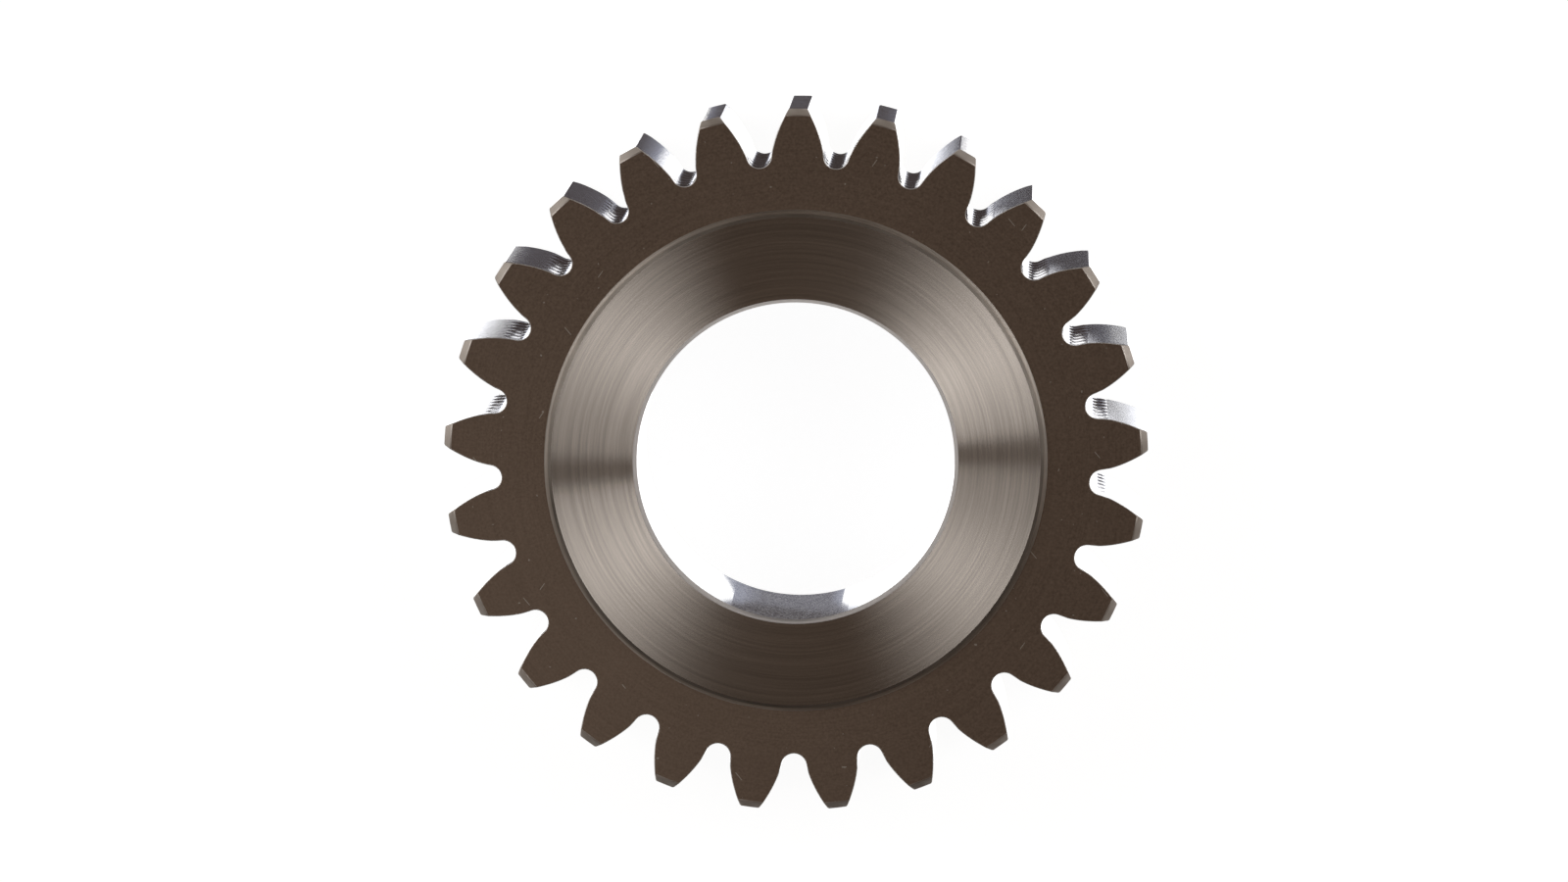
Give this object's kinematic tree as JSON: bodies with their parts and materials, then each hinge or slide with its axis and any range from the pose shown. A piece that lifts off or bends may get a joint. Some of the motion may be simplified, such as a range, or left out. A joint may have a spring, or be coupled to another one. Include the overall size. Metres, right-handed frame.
{
  "type": "planet gear",
  "caption": "Spur planet gear in steel with chamfered tooth tips, a plain bearing bore and a low raised hub ring on each face.",
  "frame": {"origin": "on the bore axis at the middle of the face width", "axes": "+Z along the bore axis, out of the side that the picture shows; a tooth gap is centred on -Y, so a tooth is centred on +Y"},
  "size_m": [0.1096, 0.1094, 0.039],
  "materials": {
    "gear_steel": "case-hardened steel, fine-ground rim sides, turned hub rings, hobbed tooth gaps and a honed bore"
  },
  "bodies": {
    "root": {"planet_gear": "gear_steel"}
  },
  "joints": []
}
